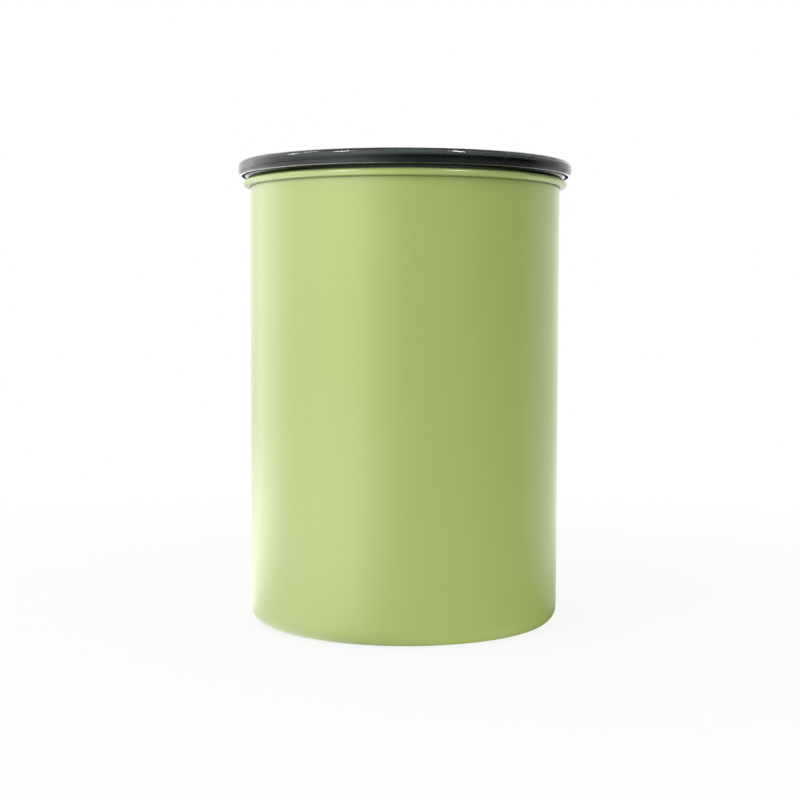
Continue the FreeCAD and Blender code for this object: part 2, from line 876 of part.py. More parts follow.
def helix_edges(radius, pitch, foot, quarters):
    """Helix as biarcs of a quarter turn each."""
    def place(quarter):
        angle = quarter * math.pi / 2
        return FreeCAD.Vector(
            radius * math.cos(angle), radius * math.sin(angle), foot + pitch * quarter / 4
        )

    def heading(quarter):
        angle = quarter * math.pi / 2
        rise = pitch / (2 * math.pi)
        return FreeCAD.Vector(-radius * math.sin(angle), radius * math.cos(angle), rise).normalize()

    edges = []
    for quarter in range(quarters):
        start, end = place(quarter), place(quarter + 1)
        leave, arrive = heading(quarter), heading(quarter + 1)
        chord = end - start
        both = leave + arrive
        spread = 2 * (1 - leave.dot(arrive))
        across = chord.dot(both)
        reach = (-across + math.sqrt(across ** 2 + spread * chord.dot(chord))) / spread
        joint = (start + leave * reach + end - arrive * reach) * 0.5
        first = bent_edge(start, joint, leave)
        second = bent_edge(end, joint, arrive * -1)
        edges += [first, second]
    return edges


def least_turn_gap(path, wire_dia, turns):
    """Least clear distance between one turn and another, measured on points along the wire."""
    points = path.discretize(Number=SPRING_SAMPLES * turns + 1)
    apart = SPRING_SAMPLES * 3 // 4
    nearest = min(
        (points[first] - points[second]).Length
        for first in range(len(points))
        for second in range(first + apart, len(points))
    )
    return nearest - wire_dia


def valve_spring():
    """Compression spring round the stem guide, between the tower and the cap."""
    wire = SIZES["spring_wire_dia"]
    turns = SIZES["spring_turn_count"]
    seat_gap = SIZES["spring_seat_gap"]
    radius = (guide_radius + size.spring_guide_gap).number + wire / 2
    foot = tower_top.number + wire / 2 + seat_gap
    pitch = (SIZES["spring_height"] - wire - 2 * seat_gap) / turns
    path = Part.Wire(helix_edges(radius, pitch, foot, 4 * turns))
    heading = FreeCAD.Vector(0, radius, pitch / (2 * math.pi))
    section = Part.Wire(Part.Circle(FreeCAD.Vector(radius, 0, foot), heading, wire / 2).toShape())
    spring = doc.addObject("Part::Feature", "valve_spring")
    spring.Label = "valve_spring"
    spring.Shape = path.makePipeShell([section], True, False)
    spring.Placement = FreeCAD.Placement(
        FreeCAD.Vector(0, 0, plunger_height.number), FreeCAD.Rotation()
    )
    gap = least_turn_gap(path, wire, turns)
    print(f"valve_spring: least gap between turns {gap:.2f} mm")
    return spring


sub_parts = [
    canister_shell(),
    outer_lid(),
    lid_seal(),
    plunger_plate(),
    wiper_gasket(),
    valve_stem(),
    valve_spring(),
    valve_seal(),
    seal_washer(),
    stem_screw(),
    pull_handle(),
    handle_pin(1, "handle_pin_right"),
    handle_pin(-1, "handle_pin_left"),
]
doc.recompute()

for item in doc.Objects:
    if "Invalid" in item.State or "Error" in item.State:
        raise RuntimeError(f"{item.Label} failed: {item.State}")
for item in sub_parts:
    if item.Shape.isNull() or not item.Shape.isValid() or len(item.Shape.Solids) != 1:
        raise RuntimeError(f"{item.Label} is not one valid solid")

os.makedirs("parts", exist_ok=True)
for item in sub_parts:
    item.Shape.exportStep(f"parts/{item.Label}.step")
    print(f"{item.Label}: {item.Shape.Volume:.0f} mm3")
print(f"inner lid {plunger_height.number:.2f}, pivot {pivot_level.number:.2f}, top {lid_top.number:.2f}")
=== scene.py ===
import math

import bmesh
import bpy
from mathutils import Matrix, Vector


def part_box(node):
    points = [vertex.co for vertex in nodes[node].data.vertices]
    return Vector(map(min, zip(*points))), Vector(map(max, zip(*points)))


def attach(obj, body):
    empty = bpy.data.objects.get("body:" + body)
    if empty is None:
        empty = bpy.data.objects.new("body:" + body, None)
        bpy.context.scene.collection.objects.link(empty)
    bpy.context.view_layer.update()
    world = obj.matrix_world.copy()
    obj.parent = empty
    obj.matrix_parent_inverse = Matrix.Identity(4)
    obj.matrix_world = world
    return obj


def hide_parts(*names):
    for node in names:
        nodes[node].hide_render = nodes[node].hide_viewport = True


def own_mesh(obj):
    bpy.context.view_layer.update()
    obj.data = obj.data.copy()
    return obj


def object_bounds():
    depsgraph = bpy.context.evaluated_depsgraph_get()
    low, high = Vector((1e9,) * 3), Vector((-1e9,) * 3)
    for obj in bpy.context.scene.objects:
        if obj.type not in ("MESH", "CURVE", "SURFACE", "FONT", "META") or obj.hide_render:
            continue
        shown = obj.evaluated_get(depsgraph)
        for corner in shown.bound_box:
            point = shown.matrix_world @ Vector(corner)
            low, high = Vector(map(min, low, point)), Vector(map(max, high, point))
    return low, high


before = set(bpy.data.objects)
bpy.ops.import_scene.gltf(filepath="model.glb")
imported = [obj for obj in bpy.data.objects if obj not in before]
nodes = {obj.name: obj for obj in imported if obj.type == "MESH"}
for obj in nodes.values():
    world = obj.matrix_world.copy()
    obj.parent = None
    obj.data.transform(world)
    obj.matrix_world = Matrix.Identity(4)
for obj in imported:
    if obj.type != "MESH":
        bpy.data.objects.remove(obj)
cadLow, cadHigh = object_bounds()
scene = bpy.context.scene
scene.view_settings.view_transform = "Standard"
mm = 0.001
mergeGap = 0.0001 * mm  # points nearer than this become one
roundSteps = 3  # faces across a rounded edge
creaseAngle = 0.7  # edges that turn by more than this, in radians, stay crisp
print("frame loaded,", len(nodes), "nodes")


class Wire:  # a node socket that can stand in a Python sum
    def __init__(self, tree, socket):
        self.tree = tree
        self.socket = socket

    def make(self, kind, settings=None, sockets=None, out=0):
        node = self.tree.nodes.new(kind)
        for name, value in (settings or {}).items():
            if name == "stops":
                setStops(node.color_ramp, value)
            else:
                setattr(node, name, value)
        for name, value in (sockets or {}).items():
            if isinstance(value, Wire):
                self.tree.links.new(value.socket, node.inputs[name])
            else:
                node.inputs[name].default_value = value
        return Wire(self.tree, node.outputs[out])

    def math(self, operation, first, second=0.0):
        return self.make("ShaderNodeMath", {"operation": operation}, {0: first, 1: second})

    def __add__(self, other):
        return self.math("ADD", self, other)

    def __radd__(self, other):
        return self.math("ADD", other, self)

    def __sub__(self, other):
        return self.math("SUBTRACT", self, other)

    def __rsub__(self, other):
        return self.math("SUBTRACT", other, self)

    def __mul__(self, other):
        return self.math("MULTIPLY", self, other)

    def __rmul__(self, other):
        return self.math("MULTIPLY", other, self)

    def __truediv__(self, other):
        return self.math("DIVIDE", self, other)

    def __pow__(self, other):
        return self.math("POWER", self, other)

    def atLeast(self, other):
        return self.math("MAXIMUM", self, other)

    def atMost(self, other):
        return self.math("MINIMUM", self, other)

    def step(self, low, high):  # eases from 0 at low to 1 at high
        sockets = {"Value": self, "From Min": low, "From Max": high}
        return self.make("ShaderNodeMapRange", {"interpolation_type": "SMOOTHSTEP"}, sockets)

    def tint(self, first, second):  # colour mix with this value as the factor
        return self.make("ShaderNodeMix", {"data_type": "RGBA"}, {0: self, 6: first, 7: second}, out=2)

    def axes(self):
        split = self.make("ShaderNodeSeparateXYZ", None, {0: self}).socket.node
        return [Wire(self.tree, socket) for socket in split.outputs]

    def stretched(self, x, y, z):
        return self.make("ShaderNodeMapping", None, {"Vector": self, "Scale": (x, y, z)})

    def noise(self, scale, detail=2.0, roughness=0.5):
        sockets = {"Vector": self, "Scale": scale, "Detail": detail, "Roughness": roughness}
        return self.make("ShaderNodeTexNoise", None, sockets)

    def bump(self, strength, distance):
        return self.make("ShaderNodeBump", None, {"Height": self, "Strength": strength, "Distance": distance})

    def into(self, shader, name):
        self.tree.links.new(self.socket, shader.inputs[name])


def setStops(ramp, stops):  # (place, colour) pairs
    while len(ramp.elements) < len(stops):
        ramp.elements.new(1.0)
    for element, (place, colour) in zip(ramp.elements, stops):
        element.position = place
        element.color = colour


def newFinish(name, **fixed):  # a material with its fixed sockets set, its shader and its Object coordinates
    material = bpy.data.materials.new(name)
    material.use_nodes = True
    tree = material.node_tree
    shader = tree.nodes["Principled BSDF"]
    for socket, value in fixed.items():
        shader.inputs[socket.replace("_", " ")].default_value = value
    place = Wire(tree, tree.nodes.new("ShaderNodeTexCoord").outputs["Object"])
    return material, shader, place


def lightPath(tree):  # camera, glossy and transmission rays
    path = tree.nodes.new("ShaderNodeLightPath")
    return [Wire(tree, path.outputs[f"Is {kind} Ray"]) for kind in ("Camera", "Glossy", "Transmission")]


def dress(node, material):
    mesh = nodes[node].data
    mesh.materials.clear()
    mesh.materials.append(material)


def spun(bm, outline, steps):  # a closed outline of (radius, height) pairs, turned once round the axis
    verts = [bm.verts.new((radius, 0, height)) for radius, height in outline]
    edges = [bm.edges.new((verts[i - 1], verts[i])) for i in range(len(verts))]
    bmesh.ops.spin(
        bm, geom=verts + edges, cent=(0, 0, 0), axis=(0, 0, 1), angle=2 * math.pi, steps=steps, use_merge=True
    )
    bmesh.ops.remove_doubles(bm, verts=bm.verts, dist=mergeGap)
    bmesh.ops.recalc_face_normals(bm, faces=bm.faces)


def softened(bm, width, corner):  # rounds the edges whose faces turn by more than corner
    sharp = [edge for edge in bm.edges if len(edge.link_faces) == 2 and edge.calc_face_angle() > corner]
    bmesh.ops.bevel(
        bm,
        geom=sharp,
        offset=width,
        offset_type="OFFSET",
        segments=roundSteps,
        profile=0.5,
        affect="EDGES",
        clamp_overlap=True,
        material=-1,
    )


def placed(bm, name, node, body, material):  # the finished piece, which stands for a CAD node
    for face in bm.faces:
        face.smooth = True
    for edge in bm.edges:
        edge.smooth = len(edge.link_faces) == 2 and edge.calc_face_angle() < creaseAngle
    mesh = bpy.data.meshes.new(name)
    bm.to_mesh(mesh)
    bm.free()
    mesh.materials.append(material)
    piece = bpy.data.objects.new(name, mesh)
    scene.collection.objects.link(piece)
    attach(piece, body)
    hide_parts(node)
    print(name, len(mesh.polygons), "faces")
    return piece


# can: satin green paint that wraps over the rim, bare drawn steel inside
canFinish = {
    "green": (0.375, 0.48, 0.122, 1),
    "greenDeep": (0.369, 0.474, 0.119, 1),
    # painted shade: darker green under the curl, where the curl's shadow falls
    "greenPaintedShade": (0.19, 0.245, 0.06, 1),
    "steel": (0.70, 0.69, 0.665, 1),
    "steelDark": (0.63, 0.62, 0.60, 1),
    "radius": 60 * mm,
    "corner": 6.2 * mm,
    "wall": 0.7 * mm,
    "panelRise": 1.6 * mm,
    "panelRun": 3.2 * mm,
    "footRing": 6.0 * mm,
    "skin": (0.45, 0.55),  # paint gives way to steel between these shares of the wall's thickness
    "rimDrop": 1.4 * mm,  # the bare steel comes up inside the mouth from this far below the top of the rim
    "rimFade": 0.1 * mm,
    "rimReach": 61.2 * mm,  # and meets the paint on the flat of the rim at this radius
    "rimSoft": 0.04 * mm,
    "rimWobble": 0.2 * mm,
    "rimWobbleScale": 160,
    "curlHeight": 2.7 * mm,
    "creviceShade": 0.45 * mm,  # height of the painted shade round the foot of the curl
    "paintIndex": 1.6,
    "gloss": 1.0,
    "paintRoughness": 0.285,
    "paintUneven": 0.016,
    "unevenScale": 60,
    "cloudScale": 18,
    "cloudFade": (0.35, 0.65),
    "peelScale": 900,  # the fine orange peel of sprayed paint
    "peelStrength": 0.02,
    "peelDepth": 0.08 * mm,
    "steelRoughness": 0.36,
    "steelUneven": 0.06,
    "streakScale": 2200,  # draw marks that run up the wall
    "streakPull": 0.02,
    "streakRelief": 0.4,
}


def canPaint(v):
    material, shader, place = newFinish("can_paint", IOR=v["paintIndex"], Specular_IOR_Level=v["gloss"])
    x, y, z = place.axes()
    radius = (x * x + y * y) ** 0.5
    footOuter = v["radius"] - v["corner"]
    footInner = footOuter - v["footRing"]
    # depth below the outer skin, which follows the foot corner and the pushed-up base panel
    lift = ((footInner - radius) / v["panelRun"]).atLeast(0).atMost(1) * v["panelRise"]
    out = (radius - footOuter).atLeast(0)
    down = (v["corner"] - (z - lift)).atLeast(0)
    depth = v["corner"] - (out * out + down * down) ** 0.5
    skinFrom, skinTo = v["skin"]
    inside = depth.step(v["wall"] * skinFrom, v["wall"] * skinTo)
    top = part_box("canister_shell")[1].z
    rim = top - v["rimDrop"]
    edge = radius + (place.noise(v["rimWobbleScale"], 3) - 0.5) * v["rimWobble"]
    painted = edge.step(v["rimReach"] - v["rimSoft"], v["rimReach"] + v["rimSoft"])
    mouth = z.step(rim, rim + v["rimFade"]) * (1 - painted)
    bare = inside.atLeast(mouth)

    # painted shade: the paint darkens in a band round the foot of the curl, in place of the curl's shadow
    curlFoot = top - v["curlHeight"]
    creviceShade = z.step(curlFoot - v["creviceShade"], curlFoot) * (1 - z.step(curlFoot, curlFoot + v["creviceShade"]))

    cloud = place.noise(v["cloudScale"], 3).step(*v["cloudFade"])
    streaks = place.stretched(1, 1, v["streakPull"]).noise(v["streakScale"], 2)
    paint = creviceShade.tint(cloud.tint(v["green"], v["greenDeep"]), v["greenPaintedShade"])
    steel = streaks.tint(v["steelDark"], v["steel"])
    bare.tint(paint, steel).into(shader, "Base Color")
    bare.into(shader, "Metallic")
    paintRough = v["paintRoughness"] + (place.noise(v["unevenScale"], 3) - 0.5) * v["paintUneven"]
    steelRough = v["steelRoughness"] + (streaks - 0.5) * v["steelUneven"]
    (paintRough * (1 - bare) + steelRough * bare).into(shader, "Roughness")
    peel = place.noise(v["peelScale"], 1) * (1 - bare) + streaks * bare * v["streakRelief"]
    peel.bump(v["peelStrength"], v["peelDepth"]).into(shader, "Normal")
    return material


dress("canister_shell", canPaint(canFinish))
print("can painted")


# outer lid: clear plastic whose smoke tint deepens with thickness
lidFinish = {
    "smoke": (0.28, 0.33, 0.29, 1),
    "density": 600,
    "index": 1.49,
    "mirror": (0.96, 1, 1, 1),  # tint of its reflections
    "roughness": 0.03,
    "uneven": 0.02,
    "unevenScale": 40,
    "waveScale": 45,  # faint waviness of the moulding
    "waveStrength": 0.003,
    "waveDepth": 0.2 * mm,
    "clear": (1, 1, 1, 1),
    "edgeTint": (0.38, 0.42, 0.4, 1),  # the thick rim looks deeper than the plate
    "edgeStart": 60.3 * mm,
    "edgeFade": 0.4 * mm,
    "edgeInner": 63.2 * mm,
    "edgeHeight": 5.5 * mm,
    "lineHeight": 0.35 * mm,  # the fine light line along the foot of the edge
    "lineFull": 0.6,  # share of its height at full strength
    "lineFade": 0.1 * mm,
    "lineIndex": 2.1,
    "lineRoughness": 0.2,
}


def smokePlastic(v):
    material, shader, place = newFinish(
        "smoke_plastic",
        Transmission_Weight=1.0,
        IOR=v["index"],
        Specular_Tint=v["mirror"],
        Coat_IOR=v["lineIndex"],
        Coat_Roughness=v["lineRoughness"],
    )
    (v["roughness"] + place.noise(v["unevenScale"], 4, 0.6) * v["uneven"]).into(shader, "Roughness")
    place.noise(v["waveScale"], 1).bump(v["waveStrength"], v["waveDepth"]).into(shader, "Normal")
    x, y, z = place.axes()
    radius = (x * x + y * y) ** 0.5
    rim = radius.step(v["edgeStart"], v["edgeStart"] + v["edgeFade"])
    rim.tint(v["clear"], v["edgeTint"]).into(shader, "Base Color")
    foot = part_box("outer_lid")[1].z - v["edgeHeight"]
    outer = radius.step(v["edgeInner"] - v["lineFade"], v["edgeInner"])
    over = z.step(foot - 2 * v["lineFade"], foot - v["lineFade"])
    past = z.step(foot + v["lineHeight"] * v["lineFull"], foot + v["lineHeight"])
    (over * (1 - past) * outer).into(shader, "Coat Weight")
    tree = material.node_tree
    smoke = tree.nodes.new("ShaderNodeVolumeAbsorption")
    smoke.inputs["Color"].default_value = v["smoke"]
    smoke.inputs["Density"].default_value = v["density"]
    tree.links.new(smoke.outputs[0], tree.nodes["Material Output"].inputs["Volume"])
    return material


dress("outer_lid", smokePlastic(lidFinish))
print("lid tinted")


# moulded plastics of the inner lid, handle and valve
mouldFinish = {
    "cloudScale": 30,
    "cloudFade": (0.3, 0.75),
    "uneven": 0.12,
    "grainStrength": 0.12,
    "grainDepth": 0.08 * mm,
    # deeper colour, lighter colour, roughness, scale of the grain
    "innerLid": ((0.06, 0.062, 0.061, 1), (0.078, 0.08, 0.079, 1), 0.46, 1800),
    "black": ((0.022, 0.022, 0.022, 1), (0.032, 0.032, 0.032, 1), 0.36, 1400),
}


def mouldedPlastic(name, v, deepColour, lightColour, roughness, grain):
    material, shader, place = newFinish(name)
    fine = place.noise(grain, 2)
    cloud = place.noise(v["cloudScale"], 3)
    (fine * 0.5 + cloud * 0.5).step(*v["cloudFade"]).tint(deepColour, lightColour).into(shader, "Base Color")
    (roughness + (fine - 0.5) * v["uneven"]).into(shader, "Roughness")
    fine.bump(v["grainStrength"], v["grainDepth"]).into(shader, "Normal")
    return material


# silicones of the seals
siliconeFinish = {
    "glow": 0.15,  # light that soaks into the soft rings
    "glowDepth": 1.5 * mm,
    "cloudScale": 90,
    "roughness": 0.42,
    "uneven": 0.1,
    "unevenScale": 400,
    "skinScale": 900,
    "skinStrength": 0.05,
    "skinDepth": 0.05 * mm,
    # colour, deeper colour
    "grey": ((0.31, 0.32, 0.31, 1), (0.27, 0.28, 0.27, 1)),
    "clear": ((0.56, 0.57, 0.55, 1), (0.5, 0.51, 0.49, 1)),
}


def silicone(name, v, colour, deepColour):
    material, shader, place = newFinish(name, Subsurface_Weight=v["glow"], Subsurface_Scale=v["glowDepth"])
    place.noise(v["cloudScale"], 3).tint(deepColour, colour).into(shader, "Base Color")
    (v["roughness"] + (place.noise(v["unevenScale"], 2) - 0.5) * v["uneven"]).into(shader, "Roughness")
    place.noise(v["skinScale"], 2).bump(v["skinStrength"], v["skinDepth"]).into(shader, "Normal")
    return material


# steels of the spring, pins, washer and screw
steelFinish = {
    "lineScale": 2500,
    "lineSqueeze": 6,
    "uneven": 0.15,
    "lineStrength": 0.06,
    "lineDepth": 0.03 * mm,
    # colour, darker colour, roughness
    "spring": ((0.62, 0.61, 0.59, 1), (0.52, 0.51, 0.49, 1), 0.3),
    "bright": ((0.68, 0.68, 0.67, 1), (0.58, 0.58, 0.57, 1), 0.26),
}


def turnedSteel(name, v, colour, darkColour, roughness):
    material, shader, place = newFinish(name, Metallic=1.0)
    lines = place.stretched(1, 1, v["lineSqueeze"]).noise(v["lineScale"], 2)
    lines.tint(darkColour, colour).into(shader, "Base Color")
    (roughness + (lines - 0.5) * v["uneven"]).into(shader, "Roughness")
    lines.bump(v["lineStrength"], v["lineDepth"]).into(shader, "Normal")
    return material


innerPlastic = mouldedPlastic("inner_lid_plastic", mouldFinish, *mouldFinish["innerLid"])
blackPlastic = mouldedPlastic("satin_black", mouldFinish, *mouldFinish["black"])
greySilicone = silicone("grey_silicone", siliconeFinish, *siliconeFinish["grey"])
clearSilicone = silicone("clear_silicone", siliconeFinish, *siliconeFinish["clear"])
springSteel = turnedSteel("spring_steel", steelFinish, *steelFinish["spring"])
brightSteel = turnedSteel("bright_steel", steelFinish, *steelFinish["bright"])
dress("plunger_plate", innerPlastic)
dress("valve_stem", blackPlastic)
dress("pull_handle", blackPlastic)
for node in ("seal_washer", "handle_pin_right", "handle_pin_left"):
    dress(node, brightSteel)
print("inner lid dressed")


# lid seal: soft ring with two low lips, in the groove of the lid's plug
lidSeal = {
    "thickness": 1.35 * mm,
    "lipHeight": 0.42 * mm,
    "valley": 0.2 * mm,
    "lipShare": 0.24,  # place of each lip from the middle, as a share of the width
    "side": 0.06 * mm,
    "round": 0.16 * mm,
    "corner": 0.35,
    "steps": 192,
}


def makeLidSeal(v):
    low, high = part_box("lid_seal")
    inner = high.x - v["thickness"]
    shoulder = high.x - v["lipHeight"]
    foot = low.z + v["side"]
    top = high.z - v["side"]
    middle = (low.z + high.z) / 2
    offset = (high.z - low.z) * v["lipShare"]
    bm = bmesh.new()
    spun(bm, [
        (inner, foot),
        (shoulder, foot),
        (high.x, middle - offset),
        (high.x - v["valley"], middle),
        (high.x, middle + offset),
        (shoulder, top),
        (inner, top),
    ], v["steps"])
    softened(bm, v["round"], v["corner"])
    placed(bm, "lid_seal_ring", "lid_seal", "lid", clearSilicone)


makeLidSeal(lidSeal)


# wiper gasket: band in the rim groove of the inner lid with two thin lips that sweep up to the can
wiper = {
    "inner": 55.05 * mm,
    "band": 1.45 * mm,
    "side": 0.04 * mm,
    "lipInset": 0.8 * mm,
    "lipSpacing": 4.8 * mm,
    "lipRake": 2.0 * mm,
    "lipBend": 0.36,  # share of the rake at half reach
    "lipRoot": 1.4 * mm,
    "lipMiddle": 0.95 * mm,
    "lipTip": 0.7 * mm,
    "round": 0.26 * mm,
    "corner": 0.15,
    "steps": 224,
}


def makeWiper(v):
    low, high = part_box("wiper_gasket")
    band = v["inner"] + v["band"]
    reach = high.x
    half = (band + reach) / 2
    foot = low.z + v["side"]
    top = high.z - v["side"]
    outline = [(v["inner"], foot), (band, foot)]
    for root in (low.z + v["lipInset"], low.z + v["lipInset"] + v["lipSpacing"]):
        bend = root + v["lipRake"] * v["lipBend"]
        tip = root + v["lipRake"]
        outline += [
            (band, root),
            (half, bend),
            (reach, tip),
            (reach, tip + v["lipTip"]),
            (half, bend + v["lipMiddle"]),
            (band, root + v["lipRoot"]),
        ]
    outline += [(band, top), (v["inner"], top)]
    bm = bmesh.new()
    spun(bm, outline, v["steps"])
    softened(bm, v["round"], v["corner"])
    placed(bm, "wiper_ring", "wiper_gasket", "plunger", greySilicone)


makeWiper(wiper)


# valve seal: disc with a rounded bead that meets the ceiling of the valve pocket
sealDisc = {
    "bore": 1.76 * mm,
    "beadWidth": 1.7 * mm,
    "beadHeight": 0.5 * mm,
    "taper": 0.7 * mm,  # the underside thins towards the edge
    "round": 0.24 * mm,
    "corner": 0.15,
    "steps": 96,
}


def makeSealDisc(v):
    low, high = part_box("valve_seal")
    bead = high.x - v["beadWidth"]
    flat = high.z - v["beadHeight"]
    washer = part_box("seal_washer")[1].x
    bm = bmesh.new()
    spun(bm, [
        (v["bore"], low.z),
        (washer, low.z),
        (high.x, low.z + v["taper"]),
        (high.x, high.z),
        (bead, high.z),
        (bead - v["beadHeight"] / 2, flat),
        (v["bore"], flat),
    ], v["steps"])
    softened(bm, v["round"], v["corner"])
    placed(bm, "valve_seal_disc", "valve_seal", "valve", greySilicone)


makeSealDisc(sealDisc)


# valve spring: drawn wire with a closed turn at each end
coil = {
    "wire": 0.7 * mm,
    "endTurns": 0.75,  # the closed turns, set close together
    "openTurns": 2.5,
    "endPitch": 0.72 * mm,
    "seatGap": 0.03 * mm,
    "squeezed": 4.0 / 6.5,  # share of its height left at full press
    "round": 14,
    "steps": 48,
}


def makeCoil(v):
    low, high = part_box("valve_spring")
    half = v["wire"] / 2
    radius = high.x - half
    room = high.z - low.z - v["wire"]
    openPitch = (room - 2 * v["endTurns"] * v["endPitch"]) / v["openTurns"]
    bm = bmesh.new()
    bmesh.ops.create_circle(bm, segments=v["round"], radius=half)
    bmesh.ops.rotate(bm, verts=bm.verts, cent=(0, 0, 0), matrix=Matrix.Rotation(math.pi / 2, 3, "X"))
    bmesh.ops.translate(bm, verts=bm.verts, vec=(radius, 0, low.z + half))
    section = bm.verts[:] + bm.edges[:]
    for turns, pitch in (
        (v["endTurns"], v["endPitch"]),
        (v["openTurns"], openPitch),
        (v["endTurns"], v["endPitch"]),
    ):
        done = bmesh.ops.spin(
            bm,
            geom=section,
            cent=(0, 0, 0),
            axis=(0, 0, 1),
            dvec=(0, 0, pitch / v["steps"]),
            angle=2 * math.pi * turns,
            steps=round(v["steps"] * turns),
        )
        section = done["geom_last"]
    bmesh.ops.remove_doubles(bm, verts=bm.verts, dist=mergeGap)
    ends = [edge for edge in bm.edges if edge.is_boundary]
    bmesh.ops.holes_fill(bm, edges=ends, sides=0)
    bmesh.ops.recalc_face_normals(bm, faces=bm.faces)
    piece = placed(bm, "valve_coil", "valve_spring", "plunger", springSteel)
    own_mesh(piece)


makeCoil(coil)


# stem screw: pan head with a cross recess
screw = {
    "shank": 1.0 * mm,
    "headHeight": 1.4 * mm,
    "edge": 0.55 * mm,
    "dome": ((0.55, 0.1 * mm), (0.85, 0.36 * mm)),  # share of the head's radius, height
    "round": 0.12 * mm,
    "corner": 0.6,
    "slotLength": 3.6 * mm,
    "slotWidth": 0.8 * mm,
    "slotDepth": 0.9 * mm,
    "steps": 64,
}


def makeScrew(v):
    low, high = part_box("stem_screw")
    seat = low.z + v["headHeight"]
    bm = bmesh.new()
    spun(bm, [
        (0, low.z),
        *[(high.x * share, low.z + rise) for share, rise in v["dome"]],
        (high.x, seat - v["edge"]),
        (high.x, seat),
        (v["shank"], seat),
        (v["shank"], high.z),
        (0, high.z),
    ], v["steps"])
    softened(bm, v["round"], v["corner"])
    piece = placed(bm, "pan_screw", "stem_screw", "valve", brightSteel)
    # the cross is cut with two crossed blocks
    cut = bmesh.new()
    for turn in (0, math.pi / 2):
        made = bmesh.ops.create_cube(cut, size=1)["verts"]
        bmesh.ops.scale(cut, verts=made, vec=(v["slotLength"], v["slotWidth"], 2 * v["slotDepth"]))
        bmesh.ops.rotate(cut, verts=made, cent=(0, 0, 0), matrix=Matrix.Rotation(turn, 3, "Z"))
        bmesh.ops.translate(cut, verts=made, vec=(0, 0, low.z))
    mesh = bpy.data.meshes.new("cross")
    cut.to_mesh(mesh)
    cut.free()
    cross = bpy.data.objects.new("cross", mesh)
    scene.collection.objects.link(cross)
    carve = piece.modifiers.new("carve", "BOOLEAN")
    carve.operation = "DIFFERENCE"
    carve.solver = "EXACT"
    carve.use_self = True
    carve.object = cross
    bpy.context.view_layer.update()
    carved = bpy.data.meshes.new_from_object(piece.evaluated_get(bpy.context.evaluated_depsgraph_get()))
    piece.modifiers.clear()
    piece.data = carved
    bpy.data.objects.remove(cross)


makeScrew(screw)
print("soft pieces and small fittings made")


# studio: white floor and surround, a broad soft light on the left and narrow strip lights
studio = {
    "floorSize": 6.0,
    "floorGap": 0.05 * mm,
    "floorWhite": (0.95, 0.95, 0.95, 1),
    "floorRoughness": 0.9,
    "shadow": 0.16,  # how much of the floor's own shading the picture keeps near the can
    "shadowReach": (0.1, 0.45),
    "ambient": 0.745,
    "ceiling": 0.6,
    "ceilingSlope": 0.45,  # brighter on the left
    "ceilingFrom": (0.55, 0.9),  # sine of the elevation where the ceiling begins, and where it fills the view
    # the floor as polished surfaces see it: (plain share, share of the walls) near, further out and far off
    "nearFloor": (0.04, 1.0),
    "midFloor": (0.2, 1.15),
    "farFloor": (0.08, 0.85),
    "midReach": (0.12, 0.25),  # where near turns into further out
    "farReach": (0.6, 0.8),
    "behindDrop": 0.15,  # and less of it behind the can
    "behindFrom": (0.2, 0.9),
    "fillShare": 0.55,  # the floor near the can lifts the shading of the foot, but not on the left
    "fillFrom": (-0.5, 0.3),
    "fillLight": 1.5,
    # what polished surfaces see round the can: azimuth from the camera side (left is minus), brightness
    "walls": (
        (-180, 1.5),
        (-158, 1.59),
        (-145, 1.44),
        (-128, 2.45),
        (-108, 2.02),
        (-94, 1.5),
        (-80, 1.32),
        (-63, 1.51),
        (-48, 1.5),
        (-34, 1.41),
        (-24, 0.98),
        (-12, 0.48),
        (-4, 0.26),
        (10, 0.1),
        (25, 0.1),
        (40, 0.12),
        (52, 0.05),
        (62, 0),
        (92, 0),
        (104, 0.36),
        (121, 0.63),
        (139, 0.96),
        (158, 1.54),
        (180, 1.6),
    ),
    "highWalls": 0.47,  # least brightness of the walls above the can
    "highFrom": (0.3, 0.5),
    # name, azimuth from the camera side, elevation, distance, width, height, brightness
    "key": ("left_key", -38, 24, 0.9, 0.7, 0.4, 3.05),
    "keyBounces": 12,
    "strips": (
        ("strip_far_left", -88, 44, 0.9, 0.06, 0.4, 21),
        ("strip_left", -48, 44, 0.9, 0.055, 0.4, 27),
        ("strip_right", 40, 44, 0.9, 0.055, 0.4, 27),
        ("strip_far_right", 102, 44, 0.9, 0.08, 0.4, 3.3),
    ),
    "stripBounces": 1,
}


def wallLight(x, y, walls):  # brightness of the walls in the direction of x, y
    turn = x.math("ARCTAN2", x, 0 - y) / (2 * math.pi) + 0.5
    most = max(light for azimuth, light in walls)
    stops = [(azimuth / 360 + 0.5, (light / most,) * 3 + (1,)) for azimuth, light in walls]
    return turn.make("ShaderNodeValToRGB", {"stops": stops}, {0: turn}) * most


def skyLight(v):
    world = bpy.data.worlds.new("studio")
    scene.world = world
    world.use_nodes = True
    world.cycles.sampling_method = "NONE"
    tree = world.node_tree
    shade = tree.nodes["Background"]
    shade.inputs["Color"].default_value = (1, 1, 1, 1)
    way = Wire(tree, tree.nodes.new("ShaderNodeTexCoord").outputs["Generated"])
    x, y, z = way.axes()
    up = z.step(*v["ceilingFrom"])
    ceiling = v["ceiling"] * (1 - v["ceilingSlope"] * x)
    walls = wallLight(x, y, v["walls"]).atLeast(z.step(*v["highFrom"]) * v["highWalls"])
    mirrored = walls * (1 - up) + ceiling * up
    camera, glossy, through = lightPath(tree)
    seen = camera.atLeast(through)
    (seen + (1 - seen) * (glossy * mirrored + (1 - glossy) * v["ambient"])).into(shade, "Strength")


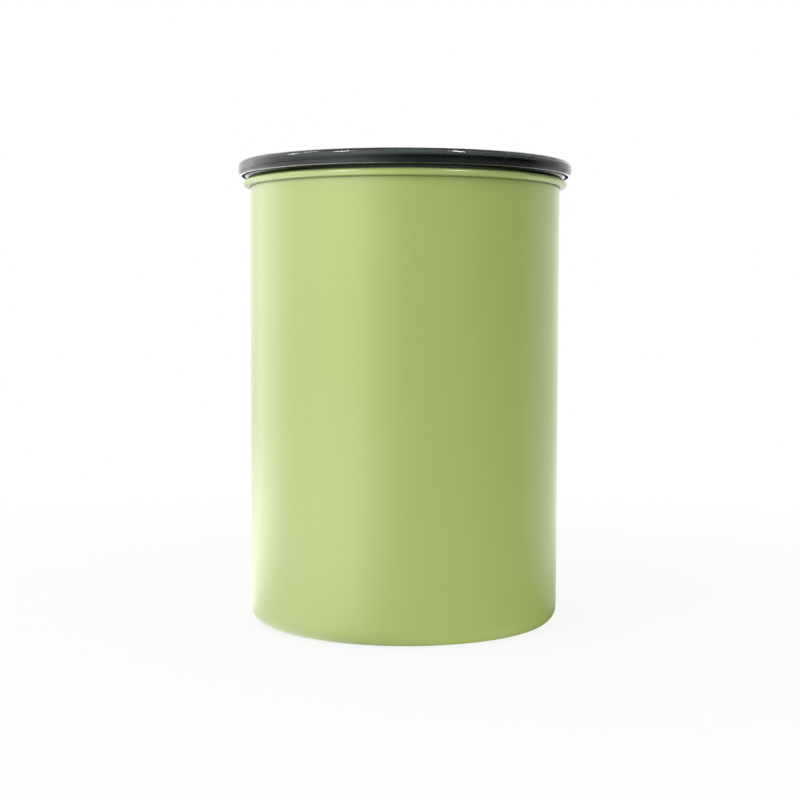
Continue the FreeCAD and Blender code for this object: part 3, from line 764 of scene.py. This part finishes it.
def softLamp(bounces, mirrored, name, azimuth, elevation, distance, width, height, brightness):
    lamp = bpy.data.lights.new(name, "AREA")
    lamp.shape = "RECTANGLE"
    lamp.size = width
    lamp.size_y = height
    lamp.energy = brightness * math.pi * width * height
    lamp.cycles.max_bounces = bounces
    holder = bpy.data.objects.new(name, lamp)
    holder.visible_glossy = mirrored  # a lamp gives either light or a reflection
    holder.visible_diffuse = not mirrored
    holder.visible_camera = False
    holder.visible_transmission = False
    scene.collection.objects.link(holder)
    a = math.radians(azimuth)
    e = math.radians(elevation)
    away = Vector((math.sin(a) * math.cos(e), -math.cos(a) * math.cos(e), math.sin(e)))
    holder.location = (cadLow + cadHigh) / 2 + away * distance
    holder.rotation_euler = away.to_track_quat("Z", "Y").to_euler()


def floorSheet(v):
    bm = bmesh.new()
    bmesh.ops.create_grid(bm, x_segments=1, y_segments=1, size=v["floorSize"])
    bmesh.ops.translate(bm, verts=bm.verts, vec=(0, 0, cadLow.z - v["floorGap"]))
    mesh = bpy.data.meshes.new("floor")
    bm.to_mesh(mesh)
    bm.free()
    floor = bpy.data.objects.new("floor", mesh)
    scene.collection.objects.link(floor)
    material, shader, place = newFinish(
        "floor_white", Roughness=v["floorRoughness"], Base_Color=v["floorWhite"]
    )
    tree = material.node_tree
    x, y, z = place.axes()
    reach = (x * x + y * y) ** 0.5
    far = reach.step(*v["shadowReach"])
    camera, glossy, through = lightPath(tree)
    seen = camera.atLeast(through)
    white = 1 - v["shadow"] * (1 - far)
    glow = tree.nodes.new("ShaderNodeEmission")
    mix = tree.nodes.new("ShaderNodeMixShader")
    # a polished surface finds the walls again in the floor, most of all in the middle distance
    walls = wallLight(x, y, v["walls"])
    zones = [v[zone] for zone in ("nearFloor", "midFloor", "farFloor")]
    near, middle, distant = [plain + share * walls for plain, share in zones]
    out = reach.step(*v["midReach"])
    off = reach.step(*v["farReach"])
    behind = (y / reach).step(*v["behindFrom"]) * v["behindDrop"]
    mirrored = (near * (1 - out) + middle * out) * (1 - off) * (1 - behind) + distant * off
    fill = (1 - out) * (x / reach).step(*v["fillFrom"]) * v["fillShare"]
    (seen + (1 - seen) * (glossy * mirrored + (1 - glossy) * v["fillLight"])).into(glow, "Strength")
    (seen * white).atLeast((1 - seen) * (glossy + (1 - glossy) * fill)).into(mix, 0)
    tree.links.new(shader.outputs[0], mix.inputs[1])
    tree.links.new(glow.outputs[0], mix.inputs[2])
    tree.links.new(mix.outputs[0], tree.nodes["Material Output"].inputs["Surface"])
    material.cycles.emission_sampling = "NONE"
    mesh.materials.append(material)


skyLight(studio)
softLamp(studio["keyBounces"], False, *studio["key"])
for strip in studio["strips"]:
    softLamp(studio["stripBounces"], True, *strip)
floorSheet(studio)
print("studio lit")


# camera at the photograph's own angle
view = {
    "place": (-1.6 * mm, -606.2 * mm, 120.6 * mm),
    "lens": 69.54,
    "sensor": 36,
    "pitchDown": 0.0572,
    "roll": 0.0038,
}


def lookIn(v):
    eye = bpy.data.cameras.new("camera")
    eye.lens = v["lens"]
    eye.sensor_width = v["sensor"]
    holder = bpy.data.objects.new("camera", eye)
    scene.collection.objects.link(holder)
    turn = Matrix.Rotation(math.pi / 2 - v["pitchDown"], 4, "X") @ Matrix.Rotation(v["roll"], 4, "Z")
    holder.matrix_world = Matrix.Translation(v["place"]) @ turn
    scene.camera = holder


lookIn(view)
